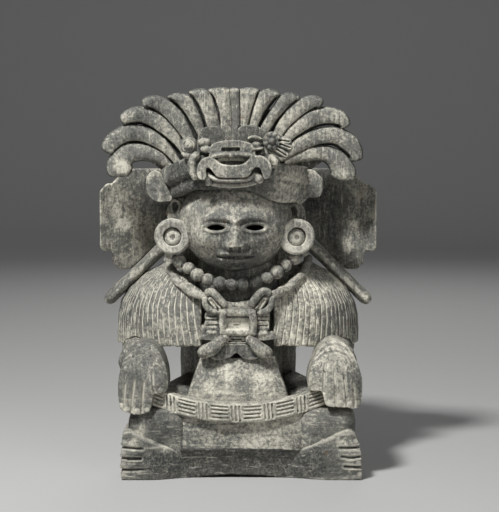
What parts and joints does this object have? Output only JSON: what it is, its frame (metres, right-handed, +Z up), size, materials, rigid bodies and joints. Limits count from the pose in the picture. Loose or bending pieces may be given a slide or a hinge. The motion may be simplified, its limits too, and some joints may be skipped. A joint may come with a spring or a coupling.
{
  "type": "effigy urn",
  "caption": "Fired-clay urn: plain round vessel behind a seated, cross-legged figure with shoulder cape, ear discs and an animal headdress with plumes.",
  "frame": {"origin": "centre of the round vessel's underside, at the level that the urn stands on", "axes": "+Z up along the vessel's axis, -Y to the front that the figure faces, +X to the right as seen from the front"},
  "size_m": [0.28, 0.211, 0.3738],
  "materials": {
    "clay": "burnished grey clay, worn, matt to dull sheen",
    "pale_clay": "grey clay with a pale worn surface, matt",
    "dark_clay": "smoke-darkened clay, dull sheen"
  },
  "bodies": {
    "root": {"vessel": "clay", "torso": "clay", "leg_right": "clay", "leg_left": "clay", "shins": "dark_clay", "foot_right": "clay", "foot_left": "clay", "loincloth_panel": "clay", "mat_belt": "clay", "belly_apron": "clay", "arm_right": "clay", "arm_left": "clay", "hand_right": "clay", "hand_left": "clay", "face_mask": "clay", "head_shell": "clay", "cape_right": "pale_clay", "cape_left": "pale_clay", "cape_collar": "clay", "necklace": "clay", "flange_right": "clay", "flange_left": "clay", "strap_right": "clay", "strap_left": "clay", "headband": "clay", "ear_left": "clay", "ear_right": "clay", "earspool_left": "pale_clay", "ear_plug_left": "pale_clay", "earspool_right": "pale_clay", "ear_plug_right": "pale_clay", "headband_tab_left": "clay", "headband_tab_right": "clay", "plume_backing": "dark_clay", "muzzle": "clay", "muzzle_jaw": "clay", "brow_left": "dark_clay", "brow_right": "dark_clay", "rosette": "clay", "side_knob": "clay", "plume_08": "clay", "plume_07": "clay", "plume_09": "clay", "plume_06": "clay", "plume_10": "clay", "plume_05": "clay", "plume_11": "clay", "plume_04": "clay", "plume_12": "clay", "plume_03": "clay", "plume_13": "clay", "plume_02": "clay", "plume_14": "clay", "plume_01": "clay", "plume_15": "clay", "chest_plaque": "clay", "bow_right": "clay", "bow_left": "clay", "pendant": "clay"}
  },
  "joints": []
}
